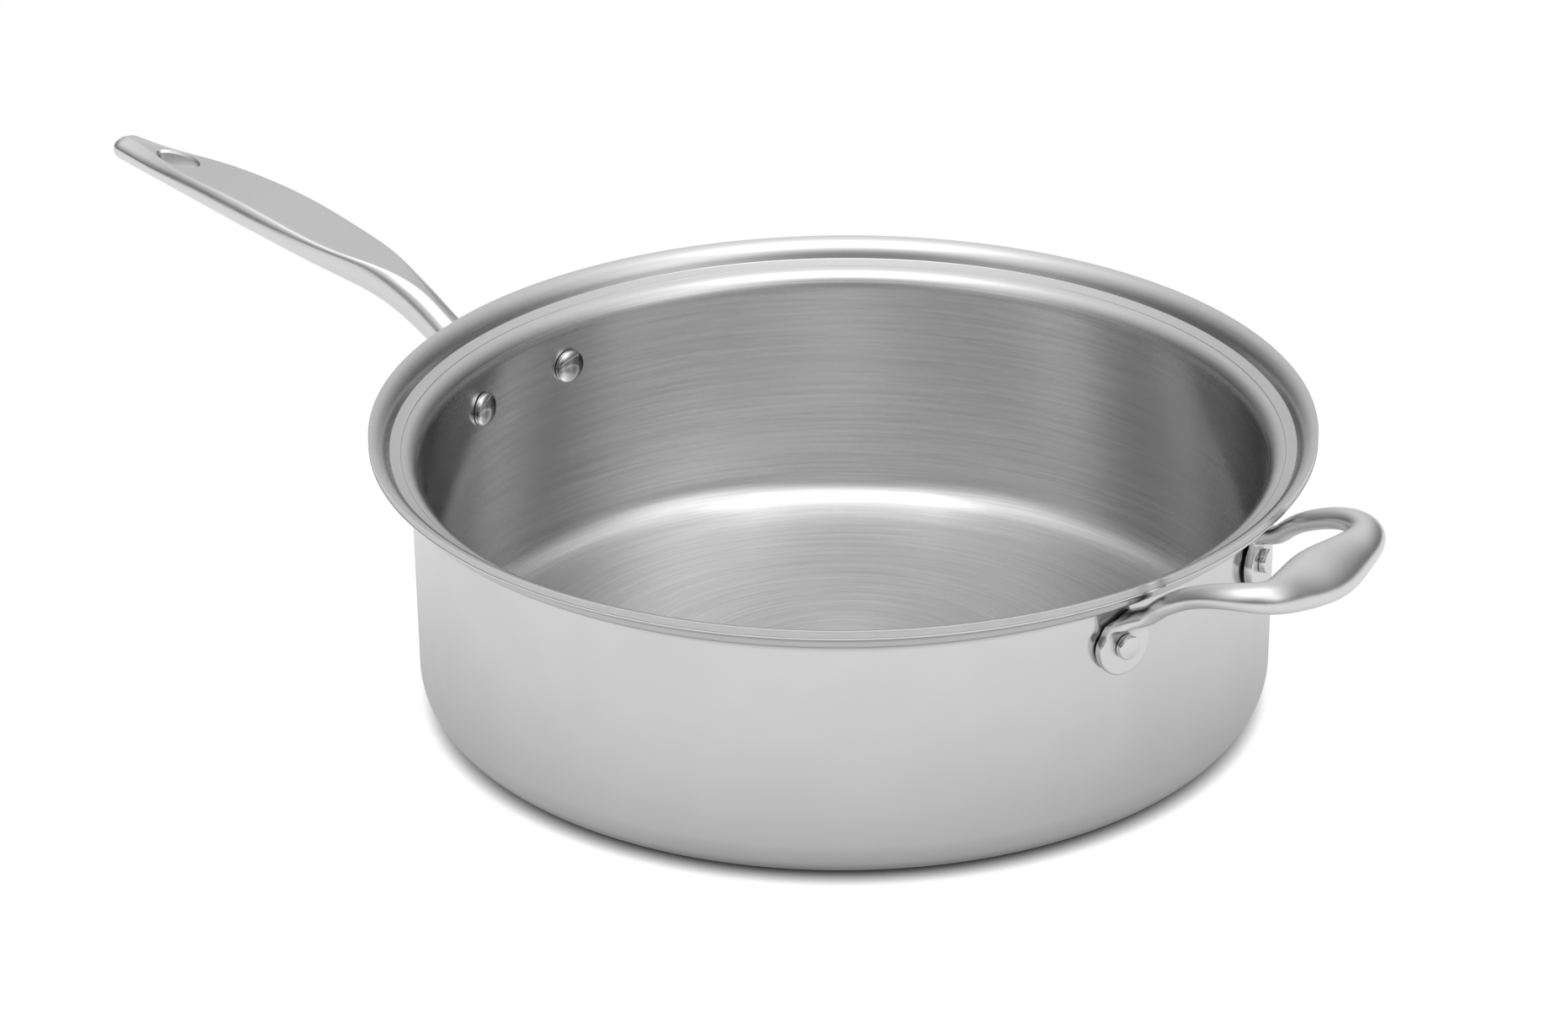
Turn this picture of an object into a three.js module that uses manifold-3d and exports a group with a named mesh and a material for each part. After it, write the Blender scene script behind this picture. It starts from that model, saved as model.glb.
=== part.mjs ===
// A clad saute pan: straight wall, flared lip with a lid ledge, a long handle and a helper handle.
// Millimetres, +Z up. The origin is the middle of the base, and the long handle points along -X.
import * as THREE from "three";
import { mergeVertices } from "three/addons/utils/BufferGeometryUtils.js";
import Module from "manifold-3d";

const wasm = await Module();
wasm.setup();

// Clad sheet
const INNER_PLY = 0.5;
const CORE_PLY = 2;
const OUTER_PLY = 0.5;
const BOND_GAP = 0.02;

// Body: the wall and its radii outside, the rim's step measured in from the lip and down from its crest
const RIM_HEIGHT = 96.2;
const LIP_OVERHANG = 13.4;
const WALL_RADIUS = 141.6;
const WALL_DRAFT = 0.9;
const INSIDE_CORNER_RADIUS = 11;
const SHOULDER_DROP = 14.2;
const SHOULDER_RADIUS = 7;
const SHOULDER_TURN = 70;
const RISER_FOOT_DROP = 6;
const RISER_FOOT_INSET = 6.7;
const RISER_TOP_DROP = 1.5;
const RISER_TOP_INSET = 3.6;
const LIP_FLAT = 2.2;

// Rivets: a domed head inside the pan and a flat button on the handle's foot
const SHANK_RADIUS = 3;
const HEAD_RADIUS = 5.8;
const HEAD_HEIGHT = 3;
const HEAD_EDGE = 0.9;
const BUTTON_RADIUS = 4;
const BUTTON_HEIGHT = 2.4;
const BUTTON_BEVEL = 0.4;
const SEAT_GAP = 0.3;
const HOLE_CLEARANCE = 0.3;

// Feet of the two handles on the wall, below its shoulder
const LUG_RADIUS = 10;
const SHOULDER_CLEARANCE = 1.2;
const FOOT_THICKNESS = 3.6;
const LUG_THICKNESS = 3;
const LONG_RIVET_SPACING = 46;
const HELPER_RIVET_SPACING = 74.5;

// Long handle: stations outward from the wall, with the rise of the top face above the rivets, the width of
// that face, how far the section stands out past each edge of it, and its depth. The root is as wide as the
// rivets' buttons allow.
const ROOT_CLEARANCE = 2;
const ROOT_WIDTH = LONG_RIVET_SPACING - 2 * (BUTTON_RADIUS + ROOT_CLEARANCE);
const ROOT_FACE = 12;
const LONG_ROOT = { out: 1.5, rise: 6.5, face: ROOT_FACE, edge: (ROOT_WIDTH - ROOT_FACE) / 2, depth: 14 };
const NECK_FOOT = { out: 8.5, rise: 8.4, face: 4, edge: 5.75, depth: 13 };
const NECK = { out: 23.5, rise: 14.2, face: 3, edge: 4.8, depth: 12.4 };
const NECK_BEND = { out: 38.5, rise: 23.8, face: 3.6, edge: 4.5, depth: 13.6 };
const BLADE_START = { out: 53.5, rise: 30.4, face: 11.2, edge: 1.95, depth: 13.4 };
const BLADE_RISE = { out: 73.5, rise: 34.1, face: 20, edge: 0.7, depth: 11.6 };
const BLADE_WIDEST = { out: 98.5, rise: 39.1, face: 23, edge: 1.5, depth: 11.1 };
const BLADE_NARROWS = { out: 123.5, rise: 43.1, face: 21, edge: 1.9, depth: 10.8 };
const SLOT_PLACE = { out: 148.5, rise: 45.1, face: 15.8, edge: 2.1, depth: 9 };
const TIP_START = { out: 166.5, rise: 46.7, face: 6.2, edge: 4.4, depth: 8.4 };
const TIP = { out: 177.5, rise: 48.05, face: 0.8, edge: 5.7, depth: 8.4 };
const LONG_STATIONS = [
  LONG_ROOT, NECK_FOOT, NECK, NECK_BEND, BLADE_START, BLADE_RISE,
  BLADE_WIDEST, BLADE_NARROWS, SLOT_PLACE, TIP_START, TIP,
];

// The section is widest at a share of its depth below the top face, and a belly power under 1 makes the
// underside fuller than an ellipse
const FLANK_SHARE = 0.4;
const BELLY_POWER = 0.9;
const TIP_LENGTH = 5;
const SLOT_FROM_TIP = 28.5;
const SLOT_LENGTH = 17.5;
const SLOT_WIDTH = 8;

// Helper handle: each arm leaves its lug just above the rivet's button and goes up past the lip. Stations of
// one half from the lip to the middle, outward from the lug, inward from the rivet and down from the rim's
// crest, with the half width and half height of the oval section
const ARM_ROOT = { out: 2.8, aboveButton: 3.4, wide: 4.8, high: 2.9 };
const ARM_FOOT = { out: 9.7, inward: 0.8, drop: 13.8, wide: 4.4, high: 3 };
const ARM_LOW = { out: 14.7, inward: 1.3, drop: 9.8, wide: 4.5, high: 3.1 };
const ARM_RISE = { out: 24.1, inward: 2.1, drop: 4, wide: 4.6, high: 3.3 };
const ARM_TOP = { out: 40.5, inward: 3.9, drop: -0.7, wide: 5.1, high: 3.9 };
const GRIP_BEND = { out: 48.4, inward: 9.3, drop: -0.6, wide: 5.9, high: 4.7 };
const GRIP_END = { out: 50.2, inward: 20.4, drop: 0.9, wide: 8, high: 5.6 };
const HELPER_STATIONS = [ARM_FOOT, ARM_LOW, ARM_RISE, ARM_TOP, GRIP_BEND, GRIP_END];
const GRIP = { out: 50.4, drop: 1.5, wide: 10.4, high: 6.4 };
const GRIP_TILT = 16;

// Fineness of the round forms
const PAN_SEGMENTS = 60;
const CORNER_STEPS = 4;
const SHOULDER_STEPS = 3;
const RIVET_SEGMENTS = 16;
const DOME_STEPS = 3;
const LUG_STEPS = 10;
const LONG_RINGS = 28;
const TIP_STEPS = [0.3, 0.6, 0.85];
const FLANK_STEPS = 2;
const BELLY_STEPS = 5;
const SLOT_STEPS = 12;
const HELPER_RINGS = 41;
const HELPER_SIDES = 14;

const QUARTER_TURN = Math.PI / 2;
const SHEET = INNER_PLY + CORE_PLY + OUTER_PLY + 2 * BOND_GAP;
const RIM_RADIUS = WALL_RADIUS + LIP_OVERHANG;
const WALL_TOP = RIM_HEIGHT - SHOULDER_DROP;
const RIVET_HEIGHT = WALL_TOP - SHOULDER_CLEARANCE - LUG_RADIUS;
const FOOT_RADIUS = wallRadius(RIVET_HEIGHT);

const steel = { color: 0xc9cacb, metalness: 1 };
const finishes = {
  brushed: { ...steel, roughness: 0.38 },
  polished: { ...steel, roughness: 0.16 },
  cast: { ...steel, roughness: 0.26 },
  aluminium: { color: 0xb9bcbf, metalness: 1, roughness: 0.45 },
};

// Outside radius of the drafted wall at a height.
function wallRadius(height) {
  return WALL_RADIUS - WALL_DRAFT * (1 - height / WALL_TOP);
}

// Points of an arc about a centre, the first one left out.
function arc(centre, radius, from, to, steps) {
  return Array.from({ length: steps }, (unused, i) => {
    const angle = from + ((to - from) * (i + 1)) / steps;
    return new THREE.Vector2(centre.x + radius * Math.cos(angle), centre.y + radius * Math.sin(angle));
  });
}

// The inside of the sheet in section, from the middle of the floor to the edge of the lip.
function insideProfile() {
  const cornerTop = SHEET + INSIDE_CORNER_RADIUS;
  const corner = new THREE.Vector2(wallRadius(cornerTop) - SHEET - INSIDE_CORNER_RADIUS, cornerTop);
  const shoulderFoot = new THREE.Vector2(WALL_RADIUS - SHEET, WALL_TOP);
  const shoulder = new THREE.Vector2(shoulderFoot.x + SHOULDER_RADIUS, WALL_TOP);
  const shoulderEnd = Math.PI - THREE.MathUtils.degToRad(SHOULDER_TURN);
  return [
    new THREE.Vector2(0, SHEET),
    new THREE.Vector2(corner.x, SHEET),
    ...arc(corner, INSIDE_CORNER_RADIUS, -QUARTER_TURN, 0, CORNER_STEPS),
    shoulderFoot,
    ...arc(shoulder, SHOULDER_RADIUS, Math.PI, shoulderEnd, SHOULDER_STEPS),
    new THREE.Vector2(RIM_RADIUS - RISER_FOOT_INSET, RIM_HEIGHT - RISER_FOOT_DROP),
    new THREE.Vector2(RIM_RADIUS - RISER_TOP_INSET, RIM_HEIGHT - RISER_TOP_DROP),
    new THREE.Vector2(RIM_RADIUS - LIP_FLAT, RIM_HEIGHT),
    new THREE.Vector2(RIM_RADIUS, RIM_HEIGHT),
  ];
}

// A profile moved by a depth into the sheet, square to each of its stretches.
function offsetProfile(profile, depth) {
  const normals = profile.slice(1).map((point, i) => {
    const along = point.clone().sub(profile[i]).normalize();
    return new THREE.Vector2(along.y, -along.x);
  });
  return profile.map((point, i) => {
    const before = normals[Math.max(i - 1, 0)];
    const after = normals[Math.min(i, normals.length - 1)];
    const middle = before.clone().add(after).normalize();
    return point.clone().addScaledVector(middle, depth / middle.dot(before));
  });
}

function turned(profile, segments) {
  return new THREE.LatheGeometry(profile, segments).rotateX(QUARTER_TURN);
}

// A closed geometry as a solid: corners shared, and triangles that shrank to a line on the axis left out.
function toSolid(geometry) {
  const bare = geometry.clone();
  bare.deleteAttribute("normal");
  bare.deleteAttribute("uv");
  const merged = mergeVertices(bare);
  const triangles = [];
  for (let i = 0; i < merged.index.count; i += 3) {
    const [a, b, c] = [0, 1, 2].map((corner) => merged.index.getX(i + corner));
    if (a !== b && b !== c && c !== a) {
      triangles.push(a, b, c);
    }
  }
  const vertProperties = new Float32Array(merged.attributes.position.array);
  const triVerts = new Uint32Array(triangles);
  return new wasm.Manifold(new wasm.Mesh({ numProp: 3, vertProperties, triVerts }));
}

function toGeometry(solid) {
  const { vertProperties, triVerts } = solid.getMesh();
  const geometry = new THREE.BufferGeometry();
  geometry.setAttribute("position", new THREE.BufferAttribute(vertProperties, 3));
  geometry.setIndex(new THREE.BufferAttribute(triVerts, 1));
  geometry.computeVertexNormals();
  return geometry;
}

// A closed skin over rings of points that run anticlockwise about the way, with a fan on each end.
function loft(rings) {
  const count = rings[0].length;
  const points = rings.flat();
  const index = [];
  for (let ring = 0; ring + 1 < rings.length; ring += 1) {
    for (let i = 0; i < count; i += 1) {
      const a = ring * count + i;
      const b = ring * count + ((i + 1) % count);
      index.push(a, b, a + count, b, b + count, a + count);
    }
  }
  for (const ring of [0, rings.length - 1]) {
    const hub = new THREE.Vector3();
    rings[ring].forEach((point) => hub.addScaledVector(point, 1 / count));
    points.push(hub);
    for (let i = 0; i < count; i += 1) {
      const edge = [ring * count + i, ring * count + ((i + 1) % count)];
      index.push(points.length - 1, ...(ring === 0 ? edge.reverse() : edge));
    }
  }
  const geometry = new THREE.BufferGeometry().setFromPoints(points);
  geometry.setIndex(index);
  return geometry;
}

// Turns about the pan's axis that bring a handle's two rivets to their places.
function rivetAngles(spacing, middle) {
  const half = Math.asin(spacing / 2 / FOOT_RADIUS);
  return [middle - half, middle + half];
}
const longAngles = rivetAngles(LONG_RIVET_SPACING, Math.PI);
const helperAngles = rivetAngles(HELPER_RIVET_SPACING, 0);

// A solid with a hole through the wall and the handle's foot at each angle.
function drilled(solid, angles) {
  const radius = SHANK_RADIUS + HOLE_CLEARANCE;
  const length = 2 * (SHEET + FOOT_THICKNESS + LUG_THICKNESS);
  return angles.reduce((rest, angle) => {
    const hole = new THREE.CylinderGeometry(radius, radius, length, RIVET_SEGMENTS);
    hole.rotateZ(QUARTER_TURN).translate(FOOT_RADIUS, 0, RIVET_HEIGHT).rotateZ(angle);
    return rest.subtract(toSolid(hole));
  }, solid);
}

// One ply of the sheet between two depths below its inside.
function ply(top, thickness) {
  const upper = offsetProfile(insideProfile(), top);
  const lower = offsetProfile(insideProfile(), top + thickness);
  const shell = toSolid(turned([...lower, ...upper.reverse()], PAN_SEGMENTS));
  return toGeometry(drilled(shell, [...longAngles, ...helperAngles]));
}

// The space that the wall takes up, with a margin around it, over the height of the handles' feet.
function wallSpace(margin) {
  const low = RIVET_HEIGHT - 2 * LUG_RADIUS;
  const high = RIVET_HEIGHT + 2 * LUG_RADIUS;
  const outline = [
    new THREE.Vector2(0, low),
    new THREE.Vector2(wallRadius(low) + margin, low),
    new THREE.Vector2(wallRadius(high) + margin, high),
    new THREE.Vector2(0, high),
  ];
  return toSolid(turned(outline, PAN_SEGMENTS));
}

// A curved plate on the wall with round ends, whose middles lie half a spread to each side.
function footPlate(spread, angle, thickness) {
  const shape = new THREE.Shape();
  shape.absarc(spread / 2, 0, LUG_RADIUS, -QUARTER_TURN, QUARTER_TURN);
  shape.absarc(-spread / 2, 0, LUG_RADIUS, QUARTER_TURN, 3 * QUARTER_TURN);
  const depth = FOOT_RADIUS;
  const block = new THREE.ExtrudeGeometry(shape, { depth, bevelEnabled: false, curveSegments: LUG_STEPS });
  block.rotateX(QUARTER_TURN).rotateZ(QUARTER_TURN);
  block.translate(FOOT_RADIUS - depth / 2, 0, RIVET_HEIGHT).rotateZ(angle);
  return toSolid(block).intersect(wallSpace(SEAT_GAP + thickness));
}

// A smooth curve through one vector for each station, and a second one through the sizes there.
function curveThrough(vectors) {
  return new THREE.CatmullRomCurve3(vectors.map((xyz) => new THREE.Vector3(...xyz)));
}

const longSpine = curveThrough(LONG_STATIONS.map((s) => [-FOOT_RADIUS - s.out, 0, RIVET_HEIGHT + s.rise]));
const longSizes = curveThrough(LONG_STATIONS.map((s) => [s.face, s.face + 2 * s.edge, s.depth]));

// The long handle's section, across and up from the middle of its top face, round from one edge of that
// face under the belly to the other edge.
function longSection(face, width, depth) {
  const flank = FLANK_SHARE * depth;
  const edge = Math.acos(face / width);
  const half = [];
  for (let i = 0; i < FLANK_STEPS; i += 1) {
    const angle = edge * (1 - i / FLANK_STEPS);
    const up = (flank * Math.sin(angle)) / Math.sin(edge);
    half.push(new THREE.Vector2((width / 2) * Math.cos(angle), up - flank));
  }
  for (let i = 0; i <= BELLY_STEPS; i += 1) {
    const angle = (i / BELLY_STEPS) * QUARTER_TURN;
    const out = i === BELLY_STEPS ? 0 : Math.cos(angle) ** BELLY_POWER;
    const down = Math.sin(angle) ** BELLY_POWER;
    half.push(new THREE.Vector2((width / 2) * out, (flank - depth) * down - flank));
  }
  const mirrored = half.slice(0, -1).reverse();
  return [...half, ...mirrored.map((point) => new THREE.Vector2(-point.x, point.y))];
}

// The long handle's directions at a share of its stations: along it, across it and square to its top face.
function longFrame(share) {
  const along = longSpine.getTangent(share);
  const across = new THREE.Vector3(0, 1, 0);
  const up = new THREE.Vector3().crossVectors(along, across).negate();
  return { along, across, up };
}

// One ring of the long handle, moved on along it and shrunk about its middle where it rounds off the tip.
function longRing(share, reach, shrink) {
  const { along, across, up } = longFrame(share);
  const [face, width, depth] = longSizes.getPoint(share).toArray();
  const middle = longSpine.getPoint(share).addScaledVector(along, reach).addScaledVector(up, -depth / 2);
  return longSection(face, width, depth).map((point) => {
    const around = middle.clone().addScaledVector(across, point.x * shrink);
    return around.addScaledVector(up, (point.y + depth / 2) * shrink);
  });
}

// The hanging slot through the long handle, square to its top face.
function hangingSlot() {
  const last = LONG_STATIONS.at(-1).out;
  const slotOut = last + TIP_LENGTH - SLOT_FROM_TIP;
  const next = LONG_STATIONS.findIndex((s) => s.out > slotOut);
  const [before, after] = [LONG_STATIONS[next - 1].out, LONG_STATIONS[next].out];
  const share = (next - 1 + (slotOut - before) / (after - before)) / (LONG_STATIONS.length - 1);
  const { along, across, up } = longFrame(share);
  const shape = new THREE.Shape().absellipse(0, 0, SLOT_LENGTH / 2, SLOT_WIDTH / 2, 0, 2 * Math.PI);
  const depth = 4 * longSizes.getPoint(share).z;
  const slot = new THREE.ExtrudeGeometry(shape, { depth, bevelEnabled: false, curveSegments: SLOT_STEPS });
  const place = new THREE.Matrix4().makeBasis(along.clone().negate(), across, up);
  place.setPosition(longSpine.getPoint(share));
  return toSolid(slot.translate(0, 0, -depth / 2).applyMatrix4(place));
}

function longHandle() {
  const rings = Array.from({ length: LONG_RINGS }, (unused, i) => longRing(i / (LONG_RINGS - 1), 0, 1));
  for (const turn of TIP_STEPS) {
    rings.push(longRing(1, TIP_LENGTH * Math.sin(turn * QUARTER_TURN), Math.cos(turn * QUARTER_TURN)));
  }
  const foot = footPlate(LONG_RIVET_SPACING, Math.PI, FOOT_THICKNESS);
  const whole = toSolid(loft(rings)).add(foot).subtract(wallSpace(SEAT_GAP)).subtract(hangingSlot());
  return toGeometry(drilled(whole, longAngles));
}

// The helper handle's stations from one lug over the grip to the other.
function helperStations() {
  const half = HELPER_RIVET_SPACING / 2;
  const root = { ...ARM_ROOT, side: -half, height: RIVET_HEIGHT + BUTTON_RADIUS + ARM_ROOT.aboveButton };
  const arm = HELPER_STATIONS.map((s) => ({ ...s, side: s.inward - half, height: RIM_HEIGHT - s.drop }));
  const near = [root, ...arm];
  const far = near.map((s) => ({ ...s, side: -s.side })).reverse();
  return [...near, { ...GRIP, side: 0, height: RIM_HEIGHT - GRIP.drop }, ...far];
}

function helperHandle() {
  const stations = helperStations();
  const lugOut = FOOT_RADIUS * Math.cos(helperAngles[1]);
  const spine = curveThrough(stations.map((s) => [lugOut + s.out, s.side, s.height]));
  const sizes = curveThrough(stations.map((s) => [s.wide, s.high, 0]));
  const rings = Array.from({ length: HELPER_RINGS }, (unused, i) => {
    const share = i / (HELPER_RINGS - 1);
    const along = spine.getTangent(share);
    const level = new THREE.Vector3(0, 0, 1).cross(along).normalize();
    const tilt = THREE.MathUtils.degToRad(GRIP_TILT) * (1 - Math.abs(2 * share - 1));
    const wideWay = level.applyAxisAngle(along, tilt);
    const highWay = along.clone().cross(wideWay);
    const { x: wide, y: high } = sizes.getPoint(share);
    return Array.from({ length: HELPER_SIDES }, (nothing, side) => {
      const angle = (2 * Math.PI * side) / HELPER_SIDES;
      const point = spine.getPoint(share).addScaledVector(wideWay, wide * Math.cos(angle));
      return point.addScaledVector(highWay, high * Math.sin(angle));
    });
  });
  const lugs = helperAngles.map((angle) => footPlate(0, angle, LUG_THICKNESS));
  const whole = lugs.reduce((sum, lug) => sum.add(lug), toSolid(loft(rings)));
  return toGeometry(drilled(whole.subtract(wallSpace(SEAT_GAP)), helperAngles));
}

// A rivet along +X, from its head inside the pan. x = 0 is the wall's inside.
function rivet(footThickness) {
  const flatness = FOOT_RADIUS * (1 - Math.cos(Math.PI / PAN_SEGMENTS)) + HEAD_RADIUS ** 2 / (2 * FOOT_RADIUS);
  const headSeat = -SEAT_GAP - flatness;
  const domeFoot = headSeat - HEAD_EDGE;
  const domeTop = HEAD_HEIGHT - HEAD_EDGE;
  const buttonSeat = SHEET + footThickness + 2 * SEAT_GAP;
  const dome = Array.from({ length: DOME_STEPS }, (unused, i) => {
    const angle = (i / DOME_STEPS) * QUARTER_TURN;
    return new THREE.Vector2(HEAD_RADIUS * Math.sin(angle), domeFoot - domeTop * Math.cos(angle));
  });
  const outline = [
    ...dome,
    new THREE.Vector2(HEAD_RADIUS, domeFoot),
    new THREE.Vector2(HEAD_RADIUS, headSeat),
    new THREE.Vector2(SHANK_RADIUS, headSeat),
    new THREE.Vector2(SHANK_RADIUS, buttonSeat),
    new THREE.Vector2(BUTTON_RADIUS, buttonSeat),
    new THREE.Vector2(BUTTON_RADIUS, buttonSeat + BUTTON_HEIGHT - BUTTON_BEVEL),
    new THREE.Vector2(BUTTON_RADIUS - BUTTON_BEVEL, buttonSeat + BUTTON_HEIGHT),
    new THREE.Vector2(0, buttonSeat + BUTTON_HEIGHT),
  ];
  return new THREE.LatheGeometry(outline, RIVET_SEGMENTS).rotateZ(-QUARTER_TURN);
}

function named(name, geometry, finish) {
  const mesh = new THREE.Mesh(geometry, new THREE.MeshStandardMaterial(finish));
  mesh.name = name;
  return mesh;
}

// Two rivets, each in a group turned to its place around the wall.
function rivetPair(name, angles, footThickness) {
  return ["left", "right"].map((side, i) => {
    const mesh = named(`${name}_${side}`, rivet(footThickness), finishes.polished);
    mesh.position.set(FOOT_RADIUS - SHEET, 0, RIVET_HEIGHT);
    const place = new THREE.Group();
    place.rotation.z = angles[i];
    return place.add(mesh);
  });
}

const body = new THREE.Group();
body.add(named("inner_steel_ply", ply(0, INNER_PLY), finishes.brushed));
body.add(named("aluminium_core", ply(INNER_PLY + BOND_GAP, CORE_PLY), finishes.aluminium));
body.add(named("outer_steel_ply", ply(SHEET - OUTER_PLY, OUTER_PLY), finishes.polished));

const longEnd = new THREE.Group();
longEnd.add(named("long_handle", longHandle(), finishes.cast));
longEnd.add(...rivetPair("long_handle_rivet", longAngles, FOOT_THICKNESS));

const helperEnd = new THREE.Group();
helperEnd.add(named("helper_handle", helperHandle(), finishes.cast));
helperEnd.add(...rivetPair("helper_rivet", helperAngles, LUG_THICKNESS));

const pan = new THREE.Group();
pan.add(body, longEnd, helperEnd);

export default pan;
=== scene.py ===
import math

import bmesh
import bpy
import numpy as np
from mathutils import Matrix, Vector


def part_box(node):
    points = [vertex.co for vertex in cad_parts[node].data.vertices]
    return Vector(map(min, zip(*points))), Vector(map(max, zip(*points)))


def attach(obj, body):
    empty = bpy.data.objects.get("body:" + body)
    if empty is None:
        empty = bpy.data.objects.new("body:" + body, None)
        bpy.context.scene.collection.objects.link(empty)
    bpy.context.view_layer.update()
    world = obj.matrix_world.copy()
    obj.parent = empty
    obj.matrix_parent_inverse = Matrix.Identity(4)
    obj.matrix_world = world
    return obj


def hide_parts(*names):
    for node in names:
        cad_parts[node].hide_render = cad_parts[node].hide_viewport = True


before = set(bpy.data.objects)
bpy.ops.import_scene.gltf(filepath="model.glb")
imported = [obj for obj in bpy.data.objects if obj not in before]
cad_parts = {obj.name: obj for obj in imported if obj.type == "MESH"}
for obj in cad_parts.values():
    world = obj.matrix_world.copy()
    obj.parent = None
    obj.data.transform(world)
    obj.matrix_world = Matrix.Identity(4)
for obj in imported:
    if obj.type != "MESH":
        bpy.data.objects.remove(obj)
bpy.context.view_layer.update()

# Lengths are millimetres and angles are degrees, unless a name or a comment says otherwise
MM = 0.001

# Clad sheet
INNER_PLY = 0.5
CORE_PLY = 2
OUTER_PLY = 0.5
BOND_GAP = 0.02
SHEET = INNER_PLY + CORE_PLY + OUTER_PLY + 2 * BOND_GAP

# Body: corners of the inside of the sheet in section, with the radius that rounds each one
RIM_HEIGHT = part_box("inner_steel_ply")[1].z / MM
RIM_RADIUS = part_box("inner_steel_ply")[1].x / MM
LIP_OVERHANG = 13.4
SHOULDER_DROP = 14.2
WALL_RADIUS = RIM_RADIUS - LIP_OVERHANG
WALL_TOP = RIM_HEIGHT - SHOULDER_DROP
WALL_DRAFT = 0.9
FLOOR_CORNER_RADIUS = 11
SHOULDER_RADIUS = 7
LEDGE_SLOPE = 18
RISER_FOOT_INSET = 6.7
RISER_FOOT_DROP = 6
RISER_FOOT_RADIUS = RIM_RADIUS - RISER_FOOT_INSET
RISER_FOOT_HEIGHT = RIM_HEIGHT - RISER_FOOT_DROP
RISER_FOOT_ROUND = 0.5
RISER_SLOPE = 65
LIP_SLOPE = 15
LIP_ROUND = 8
FLARE_FINISH_OFFSET = 1
FLARE_FINISH_RADIUS = WALL_RADIUS - SHEET + FLARE_FINISH_OFFSET
CREASE_RADIUS = 144.6
CREASE_DEPTH = 0.12
PLY_EDGE_ROUND = 0.05
CORE_RECESS = 0.12

# Rivets: a domed head inside the pan and a slightly crowned button on the handle's foot
SHANK_RADIUS = 3
HEAD_RADIUS = 5.8
HEAD_HEIGHT = 3
HEAD_EDGE = 0.9
BUTTON_RADIUS = 4
BUTTON_HEIGHT = 2.4
BUTTON_BEVEL = 0.6
BUTTON_CROWN = 0.3
SEAT_GAP = 0.3
HOLE_CLEARANCE = 0.3

# Feet of the two handles on the wall
LUG_RADIUS = 10
SHOULDER_CLEARANCE = 1.2
RIVET_HEIGHT = WALL_TOP - SHOULDER_CLEARANCE - LUG_RADIUS
FOOT_THICKNESS = 3.6
FOOT_EDGE_ROUND = 0.9
LUG_THICKNESS = 3
LUG_EDGE_ROUND = 0.7
LONG_RIVET_SPACING = 46
HELPER_RIVET_SPACING = 74.5

# Long handle: outward from the wall, rise of the top face above the rivets, width of that face,
# and width and depth of the whole section
LONG_STATIONS = [
    (8.5, 8.4, 4, 15.5, 13),
    (23.5, 14.2, 3, 12.6, 12.4),
    (38.5, 23.8, 3.6, 12.6, 13.6),
    (53.5, 30.4, 11.2, 15.1, 13.4),
    (73.5, 34.1, 20, 21.4, 11.6),
    (98.5, 39.1, 23, 26, 11.1),
    (123.5, 43.1, 21, 24.8, 10.8),
    (148.5, 45.1, 15.8, 20, 9),
    (166.5, 46.7, 6.2, 15, 8.4),
    (177.5, 48.05, 0.8, 12.2, 8.4),
]
LEAST_FACE = 0.6
MOST_FACE_SHARE = 0.97
FLANK_SHARE = 0.4
BELLY_POWER = 0.9
FACE_EDGE_ROUND = 1
FACE_EDGE_SHARE = 0.35
LEAST_FACE_TO_ROUND = 3
TIP_LENGTH = 5
NECK_START = 9.2
FLARE_SIDE = 9.5
FLARE_UPRIGHT = 3.5
FLARE_EDGE_SHARE = 0.97
FOOT_CENTRE_SHARE = 0.5
SLOT_FROM_TIP = 28.5
SLOT_LENGTH = 17.5
SLOT_WIDTH = 8
SLOT_BEVEL = 0.8

# Helper handle, one half: outward from the wall at the lug, inward from the rivet, height,
# half width and half thickness of the oval section
HELPER_STATIONS = [
    (9.7, 0.8, RIM_HEIGHT - 13.8, 4.4, 3),
    (14.7, 1.3, RIM_HEIGHT - 9.8, 4.5, 3.1),
    (24.1, 2.1, RIM_HEIGHT - 4, 4.6, 3.3),
    (40.5, 3.9, RIM_HEIGHT + 0.7, 5.1, 3.9),
    (48.4, 9.3, RIM_HEIGHT + 0.6, 5.9, 4.7),
    (50.2, 20.4, RIM_HEIGHT - 0.9, 8, 5.6),
    (50.4, HELPER_RIVET_SPACING / 2, RIM_HEIGHT - 1.5, 10.4, 6.4),
]
GRIP_TILT = 16

# Sine of the helper handle's lean from upright at which its width lies level
LEVEL_ENOUGH = 0.8

# Lug of the helper handle above its rivet: up, outward, half width, half thickness, and how flat it is
LUG_STATIONS = [
    (0, 0, LUG_RADIUS, LUG_THICKNESS / 2, 1),
    (2, 0, 9.6, LUG_THICKNESS / 2, 1),
    (4, 0, 8.4, LUG_THICKNESS / 2, 1),
    (8, 1.2, 6.4, 2.2, 0.6),
]

# Camera, for a frame of 1861 by 1200 pixels
IMAGE_WIDTH_PIXELS = 1861
FOCAL_PIXELS = 7000
AIM_RIGHT_PIXELS = 70.24
AIM_DOWN_PIXELS = 6.292
SENSOR_WIDTH = 36
VIEW_TURN = 37.5
VIEW_RISE = 25.428
VIEW_ROLL = 0.259
VIEW_DISTANCE = 1942.346
AIM_DROP = 33.2
AIM_HEIGHT = RIM_HEIGHT - AIM_DROP

# Fineness of the round forms
PAN_SEGMENTS = 256
RIVET_SEGMENTS = 64
ARC_STEP = 6
SHARP_ANGLE = 32
TINY = 1e-6


def wall_radius(height):
    """Outside radius of the drafted wall at a height."""
    return WALL_RADIUS - WALL_DRAFT * (1 - height / WALL_TOP)


FOOT_RADIUS = wall_radius(RIVET_HEIGHT)


def unit(vectors):
    return vectors / np.linalg.norm(vectors, axis=-1, keepdims=True)


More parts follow.
